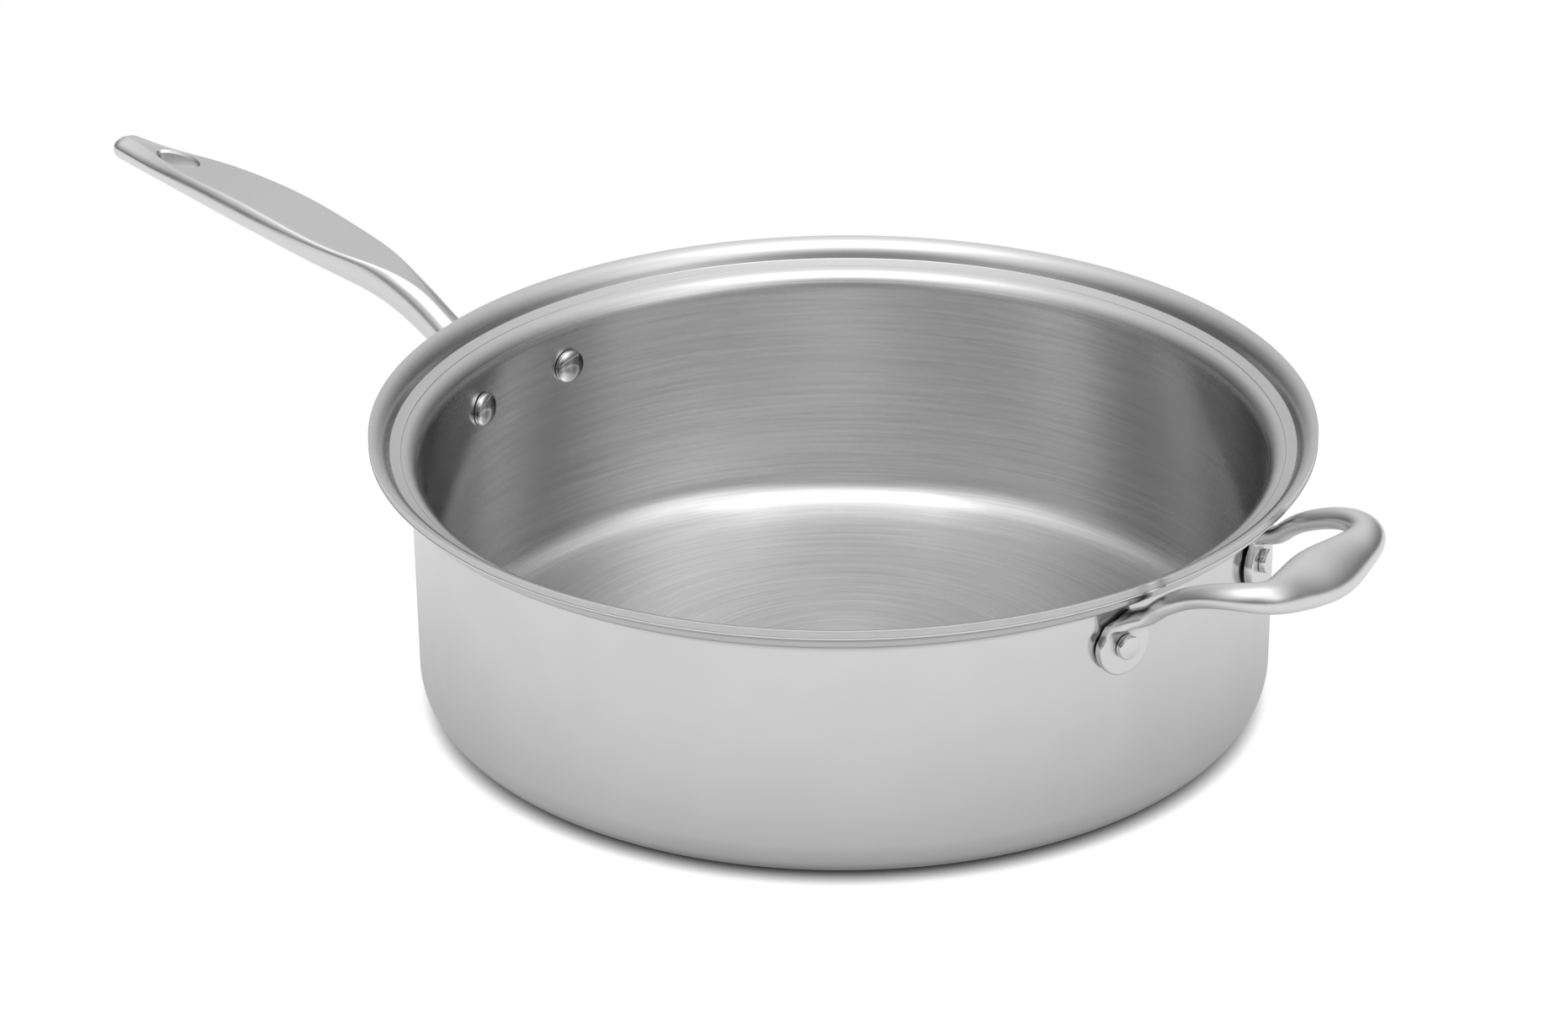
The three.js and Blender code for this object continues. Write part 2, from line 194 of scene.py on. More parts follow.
def natural_spline(xs, ys):
    """A curve with even bending through the points (xs, ys), as a function of x."""
    xs, ys = np.asarray(xs, float), np.asarray(ys, float)
    step, rise = np.diff(xs), np.diff(ys)
    system = np.eye(len(xs))
    bend = np.zeros(len(xs))
    for i in range(1, len(xs) - 1):
        system[i, i - 1:i + 2] = step[i - 1], 2 * (step[i - 1] + step[i]), step[i]
        bend[i] = 6 * (rise[i] / step[i] - rise[i - 1] / step[i - 1])
    bend = np.linalg.solve(system, bend)

    def curve(x):
        i = np.clip(np.searchsorted(xs, x) - 1, 0, len(step) - 1)
        a, b = xs[i + 1] - x, x - xs[i]
        line = (ys[i] * a + ys[i + 1] * b) / step[i]
        bow = bend[i] * (a**3 / step[i] - a * step[i]) + bend[i + 1] * (b**3 / step[i] - b * step[i])
        return line + bow / 6

    return curve


def rounded(corners, radii):
    """A polyline with its inner corners replaced by arcs of the radii given for them."""
    points = [corners[0]]
    for before, corner, after, radius in zip(corners, corners[1:], corners[2:], radii[1:-1]):
        to_before, to_after = unit(before - corner), unit(after - corner)
        half = math.acos(np.clip(to_before @ to_after, -1, 1)) / 2
        turn = math.pi - 2 * half
        reach = radius / math.tan(half)
        middle = corner + unit(to_before + to_after) * radius / math.sin(half)
        spoke = corner + to_before * reach - middle
        way = np.sign(to_after[0] * to_before[1] - to_after[1] * to_before[0])
        for angle in np.linspace(0, way * turn, max(2, round(math.degrees(turn) / ARC_STEP) + 1)):
            spin = np.array([[math.cos(angle), -math.sin(angle)], [math.sin(angle), math.cos(angle)]])
            points.append(middle + spin @ spoke)
    return points + [corners[-1]]


def sheet_surface(depth):
    """The section of the sheet at a depth below its inside, from the middle of the floor to the lip."""
    wall_top_inside = WALL_RADIUS - SHEET
    ledge, riser, lip = (math.tan(math.radians(slope)) for slope in (LEDGE_SLOPE, RISER_SLOPE, LIP_SLOPE))
    shoulder_height = RISER_FOOT_HEIGHT - (RISER_FOOT_RADIUS - wall_top_inside) * ledge
    lip_reach = (RIM_RADIUS - RISER_FOOT_RADIUS) * riser - (RIM_HEIGHT - RISER_FOOT_HEIGHT)
    lip_reach /= riser - lip
    inside = np.array([
        (0, SHEET),
        (wall_radius(SHEET) - SHEET, SHEET),
        (wall_top_inside, shoulder_height),
        (RISER_FOOT_RADIUS, RISER_FOOT_HEIGHT),
        (RIM_RADIUS - lip_reach, RIM_HEIGHT - lip_reach * lip),
        (RIM_RADIUS, RIM_HEIGHT),
    ])
    along = unit(np.diff(inside, axis=0))
    normals = np.stack([along[:, 1], -along[:, 0]], axis=1)
    before = np.vstack([normals[:1], normals])
    after = np.vstack([normals, normals[-1:]])
    middle = unit(before + after)
    moved = inside + middle * depth / (middle * before).sum(axis=1, keepdims=True)
    moved[-1] = RIM_RADIUS, RIM_HEIGHT - depth / math.cos(math.radians(LIP_SLOPE))
    radii = [
        0,
        FLOOR_CORNER_RADIUS + depth,
        SHOULDER_RADIUS - depth,
        RISER_FOOT_ROUND + depth,
        LIP_ROUND - depth,
        0,
    ]
    return rounded(moved, radii)


def with_lip_edge(upper, lower, recess):
    """The two surfaces of a ply as one closed section, its cut edge rounded and set back by a recess."""
    top = upper[:-1] + [upper[-1] - (recess + PLY_EDGE_ROUND, 0), upper[-1] - (recess, PLY_EDGE_ROUND)]
    bottom = lower[:-1] + [lower[-1] - (recess + PLY_EDGE_ROUND, 0), lower[-1] + (-recess, PLY_EDGE_ROUND)]
    return bottom + top[::-1]


def turned(section, segments):
    """Points and faces of a section (radius, height) from axis to axis, turned about Z."""
    section = np.array(section)
    angles = np.linspace(0, 2 * math.pi, segments, endpoint=False)
    points = [(0, 0, section[0, 1])]
    for radius, height in section[1:-1]:
        points.extend((radius * math.cos(a), radius * math.sin(a), height) for a in angles)
    points.append((0, 0, section[-1, 1]))
    rings = len(section) - 2
    faces = []
    for i in range(segments):
        j = (i + 1) % segments
        faces.append((0, 1 + j, 1 + i))
        for ring in range(rings - 1):
            low, high = 1 + ring * segments, 1 + (ring + 1) * segments
            faces.append((low + i, low + j, high + j, high + i))
        last = 1 + (rings - 1) * segments
        faces.append((last + i, last + j, len(points) - 1))
    return np.array(points), faces


def loft(rings):
    """Points and faces of a closed skin over rings of points, with a fan on each end."""
    rings = np.array(rings)
    count, around = rings.shape[:2]
    points = list(rings.reshape(-1, 3))
    faces = []
    for ring in range(count - 1):
        for i in range(around):
            a, b = ring * around + i, ring * around + (i + 1) % around
            faces.append((a, b, b + around, a + around))
    for ring in (0, count - 1):
        points.append(rings[ring].mean(axis=0))
        for i in range(around):
            faces.append((ring * around + i, ring * around + (i + 1) % around, len(points) - 1))
    return np.array(points), faces


def new_object(name, points, faces):
    """A mesh object from points in millimetres, its faces turned outward."""
    mesh = bpy.data.meshes.new(name)
    mesh.from_pydata((np.asarray(points) * MM).tolist(), [], faces)
    shape = bmesh.new()
    shape.from_mesh(mesh)
    bmesh.ops.recalc_face_normals(shape, faces=shape.faces)
    shape.to_mesh(mesh)
    shape.free()
    obj = bpy.data.objects.new(name, mesh)
    bpy.context.scene.collection.objects.link(obj)
    return obj


def cut(piece, cutters):
    """Takes the cutters away from a piece and deletes them."""
    for cutter in cutters:
        modifier = piece.modifiers.new("cut", "BOOLEAN")
        modifier.operation = "DIFFERENCE"
        modifier.solver = "EXACT"
        modifier.object = cutter
    graph = bpy.context.evaluated_depsgraph_get()
    mesh = bpy.data.meshes.new_from_object(piece.evaluated_get(graph))
    piece.modifiers.clear()
    piece.data = mesh
    for cutter in cutters:
        bpy.data.objects.remove(cutter)


def finish_piece(piece, node, materials):
    """Smooth shading, materials, and the CAD node that a piece stands for."""
    piece.data.polygons.foreach_set("use_smooth", [True] * len(piece.data.polygons))
    piece.data.set_sharp_from_angle(angle=math.radians(SHARP_ANGLE))
    for material in materials:
        piece.data.materials.append(material)
    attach(piece, "root")
    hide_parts(node)


def rivet_angles(spacing, middle):
    """Turns about the pan's axis, in radians, of a handle's two rivets."""
    half = math.asin(spacing / 2 / FOOT_RADIUS)
    return [middle - half, middle + half]


LONG_ANGLES = rivet_angles(LONG_RIVET_SPACING, math.pi)
HELPER_ANGLES = rivet_angles(HELPER_RIVET_SPACING, 0)


def at_rivet(angle):
    """The place of a rivet: local Z points out of the wall, and its origin is on the wall's outside."""
    return (
        Matrix.Rotation(angle, 4, "Z")
        @ Matrix.Translation((FOOT_RADIUS * MM, 0, RIVET_HEIGHT * MM))
        @ Matrix.Rotation(math.radians(90), 4, "Y")
    )


def rivet_holes(angles):
    """Cutters for the holes through the wall and the handles' feet."""
    radius = SHANK_RADIUS + HOLE_CLEARANCE
    reach = 2 * (SHEET + FOOT_THICKNESS)
    section = [(0, -reach), (radius, -reach), (radius, reach), (0, reach)]
    holes = []
    for angle in angles:
        hole = new_object("hole", *turned(section, RIVET_SEGMENTS))
        hole.data.transform(at_rivet(angle))
        holes.append(hole)
    return holes


# Materials

NOISE_RANGE = (0.3, 0.7)
NOISE_ROUGHNESS = 0.6
QUARTER_TURN = 0.25


def grey(tone):
    return (tone, tone, tone, 1)


class Nodes:
    """A node tree, with short ways to add and join its nodes."""

    def __init__(self, tree):
        self.tree = tree

    def node(self, kind, inputs=None, **settings):
        """A node with its settings; an input is a value or another node's output."""
        node = self.tree.nodes.new("ShaderNode" + kind)
        for name, value in settings.items():
            setattr(node, name, value)
        for name, value in (inputs or {}).items():
            self.set(node, name, value)
        return node

    def set(self, node, name, value):
        if isinstance(value, bpy.types.NodeSocket):
            self.tree.links.new(value, node.inputs[name])
        else:
            node.inputs[name].default_value = value

    def background_rays(self):
        """1 for rays that see the background: from the camera, or by way of metal or glass."""
        rays = self.node("LightPath").outputs
        seen = rays["Is Camera Ray"]
        for name in ("Is Glossy Ray", "Is Transmission Ray"):
            seen = self.node("Math", {0: seen, 1: rays[name]}, operation="MAXIMUM").outputs[0]
        return seen


class Shader(Nodes):
    """The node tree of a material, which is metal unless its surface is replaced."""

    def __init__(self, name):
        self.material = bpy.data.materials.new(name)
        self.material.use_nodes = True
        super().__init__(self.material.node_tree)
        self.surface = self.tree.nodes["Principled BSDF"]
        self.surface.inputs["Metallic"].default_value = 1

    def place(self):
        return self.node("TexCoord").outputs["Object"]

    def ring_place(self, along, across):
        """Coordinates that change fast across the rings of a turned finish and slowly along them."""
        place = self.place()
        parts = self.node("SeparateXYZ", {0: place}).outputs
        flat = self.node("VectorMath", {0: place, 1: (1, 1, 0)}, operation="MULTIPLY").outputs[0]
        radius = self.node("VectorMath", {0: flat}, operation="LENGTH").outputs["Value"]
        path = self.node("Math", {0: radius, 1: parts["Z"]}, operation="ADD").outputs[0]
        x = self.node("Math", {0: parts["X"], 1: along}, operation="MULTIPLY").outputs[0]
        y = self.node("Math", {0: parts["Y"], 1: along}, operation="MULTIPLY").outputs[0]
        z = self.node("Math", {0: path, 1: across}, operation="MULTIPLY").outputs[0]
        return self.node("CombineXYZ", {"X": x, "Y": y, "Z": z}).outputs[0]

    def noise(self, place, scale, detail=2):
        inputs = {"Vector": place, "Scale": scale, "Detail": detail, "Roughness": NOISE_ROUGHNESS}
        return self.node("TexNoise", inputs).outputs["Fac"]

    def spread(self, value, low, high):
        """A noise value stretched to run from low to high."""
        least, most = NOISE_RANGE
        inputs = {"Value": value, "From Min": least, "From Max": most, "To Min": low, "To Max": high}
        return self.node("MapRange", inputs).outputs["Result"]

    def ramp(self, value, positions, colours):
        """A value as a colour that runs from one to another between two positions."""
        ramp = self.node("ValToRGB", {"Fac": value})
        for element, position, colour in zip(ramp.color_ramp.elements, positions, colours):
            element.position = position
            element.color = colour
        return ramp.outputs["Color"]

    def tones(self, value, dark, light):
        """A noise value as a colour between two others."""
        return self.ramp(value, NOISE_RANGE, (dark, light))

    def bump(self, height, distance, strength):
        """Small unevenness; the distance is in metres."""
        inputs = {"Height": height, "Distance": distance, "Strength": strength}
        return self.node("Bump", inputs).outputs["Normal"]

    def turned_finish(self):
        """Brush marks in rings about the pan's axis stretch the highlights across them."""
        tangent = self.node("Tangent", direction_type="RADIAL", axis="Z").outputs[0]
        self.set(self.surface, "Tangent", tangent)
        self.set(self.surface, "Anisotropic", 1)
        self.set(self.surface, "Anisotropic Rotation", QUARTER_TURN)

    def finish(self, colour, roughness, normal):
        self.set(self.surface, "Base Color", colour)
        self.set(self.surface, "Roughness", roughness)
        self.set(self.surface, "Normal", normal)
        return self.material


def brushed_steel():
    """The cooking surface: stainless steel brushed in rings. Its tone sits lighter than the steel's own as
    painted light, making up for the dim inside of the pan; the spread of tone is random.
    """
    shader = Shader("brushed_steel")
    shader.turned_finish()
    fine = shader.noise(shader.ring_place(along=24, across=900), scale=1, detail=1.5)
    broad = shader.noise(shader.ring_place(along=12, across=300), scale=1)
    return shader.finish(
        # Painted light: the whole range is set lighter to brighten the inside of the pan; the noise
        # between its ends is random tone
        colour=shader.tones(fine, dark=grey(0.67), light=grey(0.76)),
        roughness=shader.spread(broad, low=0.21, high=0.24),
        normal=shader.bump(broad, distance=0.0002, strength=0.01),
    )


def rim_steel():
    """The flare round the mouth: satin, with faint turning lines. Its tone sits darker than the cooking
    surface's as painted shade, holding down the lamps' highlight on the flare.
    """
    shader = Shader("rim_steel")
    lines = shader.noise(shader.ring_place(along=20, across=700), scale=1, detail=1)
    return shader.finish(
        # Painted shade: a darker tone than the brushed wall of the same steel, to hold down the highlight
        # on the flare
        colour=shader.tones(lines, dark=grey(0.59), light=grey(0.61)),
        roughness=shader.spread(lines, low=0.25, high=0.28),
        normal=shader.bump(lines, distance=0.0001, strength=0.005),
    )


def bare_aluminium():
    """The core, seen at the lip's cut edge."""
    shader = Shader("bare_aluminium")
    marks = shader.noise(shader.ring_place(along=120, across=3000), scale=1)
    return shader.finish(
        colour=shader.tones(marks, dark=(0.50, 0.50, 0.51, 1), light=(0.62, 0.62, 0.63, 1)),
        roughness=shader.spread(marks, low=0.38, high=0.5),
        normal=shader.bump(marks, distance=0.0001, strength=0.1),
    )


def polished_steel():
    """The outside of the body: polished, with faint rings."""
    shader = Shader("polished_steel")
    rings = shader.noise(shader.ring_place(along=14, across=900), scale=1)
    clouds = shader.noise(shader.place(), scale=28)
    return shader.finish(
        colour=shader.tones(clouds, dark=grey(0.625), light=grey(0.65)),
        roughness=shader.spread(rings, low=0.12, high=0.17),
        normal=shader.bump(rings, distance=0.0001, strength=0.02),
    )


def cast_steel(name, dark, light, smooth, rough, grain):
    """The finish of handles and rivets: a fine even grain over slow cloudy changes."""
    shader = Shader(name)
    speckle = shader.noise(shader.place(), scale=3000)
    clouds = shader.noise(shader.place(), scale=90)
    return shader.finish(
        colour=shader.tones(speckle, grey(dark), grey(light)),
        roughness=shader.spread(clouds, smooth, rough),
        normal=shader.bump(clouds, distance=0.0004, strength=grain),
    )


BRUSHED = brushed_steel()
RIM = rim_steel()
ALUMINIUM = bare_aluminium()
POLISHED = polished_steel()
# The long handle's top face: rougher satin steel, with its tone set darker than the buffed steel as
# painted shade for the dimmer light that falls on the face
SATIN_AND_SHADE = cast_steel("satin_steel_and_shade", dark=0.55, light=0.60, smooth=0.34, rough=0.40, grain=0.06)
BUFFED = cast_steel("buffed_steel", dark=0.66, light=0.70, smooth=0.28, rough=0.33, grain=0.05)
MIRROR = cast_steel("rivet_steel", dark=0.64, light=0.68, smooth=0.10, rough=0.13, grain=0.01)


# Body of the pan


def with_crease(surface):
    """The inside with the fine turned line where the ledge begins."""
    after = next(i for i, point in enumerate(surface) if point[0] > CREASE_RADIUS)
    before, beyond = surface[after - 1], surface[after]
    groove = []
    for offset, depth in ((-CREASE_DEPTH, 0), (0, CREASE_DEPTH), (CREASE_DEPTH, 0)):
        share = (CREASE_RADIUS + offset - before[0]) / (beyond[0] - before[0])
        groove.append(before + (beyond - before) * share - (0, depth))
    return surface[:after] + groove + surface[after:]


def ply(name, node, top, thickness, recess, materials):
    """One layer of the sheet; its second material, where it has one, is on the flare."""
    upper, lower = sheet_surface(top), sheet_surface(top + thickness)
    if top == 0:
        upper = with_crease(upper)
    piece = new_object(name, *turned(with_lip_edge(upper, lower, recess), PAN_SEGMENTS))
    cut(piece, rivet_holes(LONG_ANGLES + HELPER_ANGLES))
    for face in piece.data.polygons:
        on_flare = face.center.xy.length / MM > FLARE_FINISH_RADIUS
        face.material_index = len(materials) - 1 if on_flare else 0
    finish_piece(piece, node, materials)


ply("cooking_surface", "inner_steel_ply", 0, INNER_PLY, 0, [BRUSHED, RIM])
ply("core_layer", "aluminium_core", INNER_PLY + BOND_GAP, CORE_PLY, CORE_RECESS, [ALUMINIUM])
ply("outer_shell", "outer_steel_ply", SHEET - OUTER_PLY, OUTER_PLY, 0, [POLISHED])


# Rivets

CROWN_STEPS = 6


def rivet(name, node, angle, foot_thickness):
    """A rivet's section from its domed head, through the wall, to its button."""
    head_seat = -SHEET - SEAT_GAP - HEAD_RADIUS**2 / (2 * FOOT_RADIUS)
    dome_foot = head_seat - HEAD_EDGE
    dome_rise = HEAD_HEIGHT - HEAD_EDGE
    button_seat = foot_thickness + 2 * SEAT_GAP
    button_top = button_seat + BUTTON_HEIGHT
    dome = [
        (HEAD_RADIUS * math.sin(a), dome_foot - dome_rise * math.cos(a))
        for a in np.radians(np.arange(0, 90, ARC_STEP))
    ]
    section = dome + [
        (HEAD_RADIUS, dome_foot),
        (HEAD_RADIUS, head_seat),
        (SHANK_RADIUS, head_seat),
        (SHANK_RADIUS, button_seat),
        (BUTTON_RADIUS, button_seat),
    ]
    crown_foot = button_top - BUTTON_CROWN
    edge_corners = [(BUTTON_RADIUS, button_seat), (BUTTON_RADIUS, crown_foot), (0, crown_foot)]
    edge = rounded(np.array(edge_corners), [0, BUTTON_BEVEL, 0])
    flat = BUTTON_RADIUS - BUTTON_BEVEL
    crown = [
        (flat * (1 - share), button_top - BUTTON_CROWN * (1 - share) ** 2)
        for share in np.linspace(0, 1, CROWN_STEPS + 1)[1:]
    ]
    piece = new_object(name, *turned(section + edge[1:-1] + crown, RIVET_SEGMENTS))
    piece.data.transform(at_rivet(angle))
    finish_piece(piece, node, [MIRROR])


for side, long_angle, helper_angle in zip(("left", "right"), LONG_ANGLES, HELPER_ANGLES):
    rivet(f"rivet_long_{side}", f"long_handle_rivet_{side}", long_angle, FOOT_THICKNESS)
    rivet(f"rivet_helper_{side}", f"helper_rivet_{side}", helper_angle, LUG_THICKNESS)


# Long handle

FACE_STEPS = 7
EDGE_STEPS = 8
FLANK_STEPS = 8
BELLY_STEPS = 14
LONG_RINGS = 130
TIP_STEPS = 9
FLARE_STEPS = 10
FOOT_EDGE_STEPS = 5
SLOT_STEPS = 64
TIP_TURN = 88
SLOPE_STEP = 0.1
SATIN_AND_SHADE_SLOT = 1

long_out = [station[0] for station in LONG_STATIONS]
long_rise, long_face, long_width, long_depth = (
    natural_spline(long_out, [station[i] for station in LONG_STATIONS]) for i in (1, 2, 3, 4)
)


def long_section(out):
    """Half of the section, across and up from the middle of the top face, and then its mirror image."""
    width, depth = long_width(out), long_depth(out)
    face = min(max(long_face(out), LEAST_FACE), MOST_FACE_SHARE * width)
    flank = FLANK_SHARE * depth
    edge = math.acos(face / width)
    round_off = min(FACE_EDGE_ROUND, face / LEAST_FACE_TO_ROUND)

    def flank_point(share):
        angle = edge * (1 - share)
        return np.array((width / 2 * math.cos(angle), flank * (math.sin(angle) / math.sin(edge) - 1)))

    corner = flank_point(0)
    start, end = corner - (round_off, 0), flank_point(FACE_EDGE_SHARE)
    half = [start * share for share in np.linspace(0, 1, FACE_STEPS)]
    for share in np.linspace(0, 1, EDGE_STEPS + 1)[1:]:
        half.append((1 - share) ** 2 * start + 2 * share * (1 - share) * corner + share**2 * end)
    half += [flank_point(share) for share in np.linspace(FACE_EDGE_SHARE, 1, FLANK_STEPS + 1)[1:]]
    for angle in np.linspace(0, math.pi / 2, BELLY_STEPS + 1)[1:]:
        across = max(math.cos(angle), 0) ** BELLY_POWER * width / 2
        half.append(np.array((across, -flank - (depth - flank) * math.sin(angle) ** BELLY_POWER)))
    half[-1][0] = 0
    return np.array(half + [point * (-1, 1) for point in half[-2:0:-1]])


def on_long_face(out):
    """A point on the middle of the top face, with the ways along the handle and square to the face."""
    slope = math.atan((long_rise(out + SLOPE_STEP) - long_rise(out - SLOPE_STEP)) / (2 * SLOPE_STEP))
    point = np.array((-FOOT_RADIUS - out, 0, RIVET_HEIGHT + long_rise(out)))
    along = np.array((-math.cos(slope), 0, math.sin(slope)))
    up = np.array((math.sin(slope), 0, math.cos(slope)))
    return point, along, up


def long_ring(out, reach=0, shrink=1):
    """The section in its place, moved on and shrunk about its middle where it rounds off the tip."""
    point, along, up = on_long_face(out)
    half_depth = long_depth(out) / 2
    middle = point + reach * along - half_depth * up
    section = long_section(out)
    across = np.outer(section[:, 0] * shrink, (0, 1, 0))
    return middle + across + np.outer((section[:, 1] + half_depth) * shrink, up)


def on_foot(around, up, depth):
    """A point of the long handle's foot, around and up the wall from its middle, and out from it."""
    angle = around / FOOT_RADIUS
    radius = FOOT_RADIUS + depth
    return np.stack([-radius * np.cos(angle), radius * np.sin(angle), RIVET_HEIGHT + up], axis=-1)


def foot_outline(ways, inset):
    """The foot's outline with round ends, in the given ways from its middle."""
    spread = LONG_RIVET_SPACING / 2
    radius = LUG_RADIUS - inset
    across, up = np.abs(ways[:, 0]), np.abs(ways[:, 1])
    straight = radius / np.maximum(up, TINY)
    end = spread * across + np.sqrt(np.maximum((spread * across) ** 2 - spread**2 + radius**2, 0))
    return ways * np.where(straight * across <= spread, straight, end)[:, None]


def foot_rings():
    """Rings from the wall, over the foot's edge and face, and up the flare into the neck."""
    neck = long_ring(NECK_START)
    around = FOOT_RADIUS * np.arctan2(neck[:, 1], -neck[:, 0])
    up = neck[:, 2] - RIVET_HEIGHT
    out = np.hypot(neck[:, 0], neck[:, 1]) - FOOT_RADIUS
    start = np.stack([around, up], axis=1)
    middle = np.array((0, up.mean()))
    ways = unit(start - middle * FOOT_CENTRE_SHARE)
    face = SEAT_GAP + FOOT_THICKNESS
    flare = start + (start - middle) / np.abs(start - middle).max(axis=0) * (FLARE_SIDE, FLARE_UPRIGHT)
    edge = foot_outline(ways, FOOT_EDGE_ROUND)
    limit = np.linalg.norm(edge, axis=1) / np.linalg.norm(flare, axis=1)
    flare = flare * np.minimum(1, FLARE_EDGE_SHARE * limit)[:, None]
    rings = [on_foot(*foot_outline(ways, 0).T, SEAT_GAP)]
    for turn in np.radians(np.linspace(0, 90, FOOT_EDGE_STEPS + 1)):
        inset = FOOT_EDGE_ROUND * (1 - math.cos(turn))
        depth = face - FOOT_EDGE_ROUND * (1 - math.sin(turn))
        rings.append(on_foot(*foot_outline(ways, inset).T, depth))
    for turn in np.radians(np.linspace(90, 0, FLARE_STEPS + 1)):
        spot = start + (flare - start) * (1 - math.cos(turn))
        rings.append(on_foot(*spot.T, face + (out - face) * (1 - math.sin(turn))))
    return rings


def slot_cutter():
    """The hanging slot, square to the top face, with a bevel that opens upward."""
    out = LONG_STATIONS[-1][0] + TIP_LENGTH - SLOT_FROM_TIP
    middle, along, up = on_long_face(out)
    angles = np.linspace(0, 2 * math.pi, SLOT_STEPS, endpoint=False)
    reach = 2 * long_depth(out)
    rings = []
    for height, wider in ((-reach, 0), (-SLOT_BEVEL, 0), (SLOT_BEVEL, 2 * SLOT_BEVEL)):
        length = np.outer((SLOT_LENGTH / 2 + wider) * np.cos(angles), along)
        width = np.outer((SLOT_WIDTH / 2 + wider) * np.sin(angles), (0, 1, 0))
        rings.append(middle + height * up + length + width)
    return new_object("slot", *loft(rings))


def long_handle():
    outs = np.linspace(NECK_START, LONG_STATIONS[-1][0], LONG_RINGS)
    foot = foot_rings()
    rings = foot + [long_ring(out) for out in outs[1:]]
    for turn in np.radians(np.linspace(0, TIP_TURN, TIP_STEPS + 1))[1:]:
        rings.append(long_ring(outs[-1], TIP_LENGTH * math.sin(turn), math.cos(turn)))
    piece = new_object("handle_long", *loft(rings))
    around = len(rings[0])
    on_face = set(range(FACE_STEPS)) | set(range(around - FACE_STEPS + 1, around))
    top = range(len(foot), len(foot) + LONG_RINGS)
    # The top face takes the satin material, whose darker tone is partly painted shade
    for face in piece.data.polygons:
        ring = min(face.vertices) // around
        columns = {vertex % around for vertex in face.vertices}
        if ring in top and columns <= on_face:
            face.material_index = SATIN_AND_SHADE_SLOT
    cut(piece, [slot_cutter(), *rivet_holes(LONG_ANGLES)])
    finish_piece(piece, "long_handle", [BUFFED, SATIN_AND_SHADE])


long_handle()


# Helper handle

STRAP_SIDES = 24
STRAP_EDGE_ANGLE = 4
ARM_STEPS = 90
LUG_START_ANGLE = 3
LUG_STEPS = 22


def smooth_path(values, steps):
    """Values at nodes as a smooth run of rows, by a curve with even bending in each column."""
    values = np.array(values)
    spans = np.linalg.norm(np.diff(values[:, :3], axis=0), axis=1)
    length = np.concatenate([[0], np.cumsum(spans)])
    at = np.linspace(0, length[-1], steps)
    curves = [natural_spline(length, column) for column in values.T]
    return np.array([[curve(x) for curve in curves] for x in at])


def strap_ring(middle, wide_way, thick_way, wide, thick, flatness, below):
    """A ring of a strap: a flat plate with rounded edges where flatness is 1, an oval where it is 0."""
    angles = np.radians(np.linspace(STRAP_EDGE_ANGLE, 180 - STRAP_EDGE_ANGLE, STRAP_SIDES))
    across = np.cos(angles) / math.cos(math.radians(STRAP_EDGE_ANGLE))
    to_edge = LUG_RADIUS - np.hypot(across * wide, below) if below < 0 else (1 - np.abs(across)) * wide
    short = np.clip(LUG_EDGE_ROUND - to_edge, 0, LUG_EDGE_ROUND)
    plate = thick - LUG_EDGE_ROUND + np.sqrt(LUG_EDGE_ROUND**2 - short**2)
    oval = thick * np.sin(angles)
    rise = flatness * plate + (1 - flatness) * oval
    across = np.concatenate([across, across[::-1]]) * wide
    rise = np.concatenate([rise, -rise[::-1]])
    return middle + np.outer(across, wide_way) + np.outer(rise, thick_way)


def helper_half():
    """Rings from the bottom of one lug, up its strap and along the arm to the middle of the grip."""
    angle = HELPER_ANGLES[0]
    outward = np.array((math.cos(angle), math.sin(angle), 0))
    around = np.array((-math.sin(angle), math.cos(angle), 0))
    upward = np.array((0, 0, 1))
    depth = SEAT_GAP + LUG_THICKNESS / 2
    lug = outward * (FOOT_RADIUS + depth) + upward * RIVET_HEIGHT
    rings = []
    for turn in np.radians(np.linspace(LUG_START_ANGLE, 90, LUG_STEPS)):
        below = -LUG_RADIUS * math.cos(turn)
        half = (LUG_RADIUS * math.sin(turn), LUG_THICKNESS / 2)
        rings.append(strap_ring(lug + upward * below, around, -outward, *half, 1, below))
    wall = FOOT_RADIUS * math.cos(angle)
    nodes = [(*(lug + upward * up + outward * out), *rest) for up, out, *rest in LUG_STATIONS]
    for out, inward, height, wide, thick in HELPER_STATIONS:
        nodes.append((wall + out, inward - HELPER_RIVET_SPACING / 2, height, wide, thick, 0))
    other_half = [(x, -y, *rest) for x, y, *rest in nodes[-2::-1]]
    path = smooth_path(nodes + other_half, 2 * ARM_STEPS - 1)
    alongs = unit(np.gradient(path[:, :3], axis=0))
    for i, (row, along) in enumerate(zip(path[:ARM_STEPS], alongs)):
        share = i / (ARM_STEPS - 1)
        level = np.cross(upward, along)
        steady = min(1, np.linalg.norm(level) / LEVEL_ENOUGH)
        wide_way = unit(level * steady + around * (1 - steady))
        wide_way = unit(wide_way - along * (wide_way @ along))
        tilt = math.radians(GRIP_TILT) * math.sin(math.pi / 2 * share) ** 2
        thick_way = np.cross(along, wide_way)
        wide_way = math.cos(tilt) * wide_way + math.sin(tilt) * thick_way
        thick_way = np.cross(along, wide_way)
        if i > 0:
            wide, thick, flatness = row[3:]
            rings.append(strap_ring(row[:3], wide_way, thick_way, wide, thick, np.clip(flatness, 0, 1), 0))
    return rings


def helper_handle():
    half = helper_half()
    mirrored = [ring * (1, -1, 1) for ring in half[-2::-1]]
    piece = new_object("handle_helper", *loft(half + mirrored))
    cut(piece, rivet_holes(HELPER_ANGLES))
    finish_piece(piece, "helper_handle", [BUFFED])


helper_handle()


# Stage, light and camera

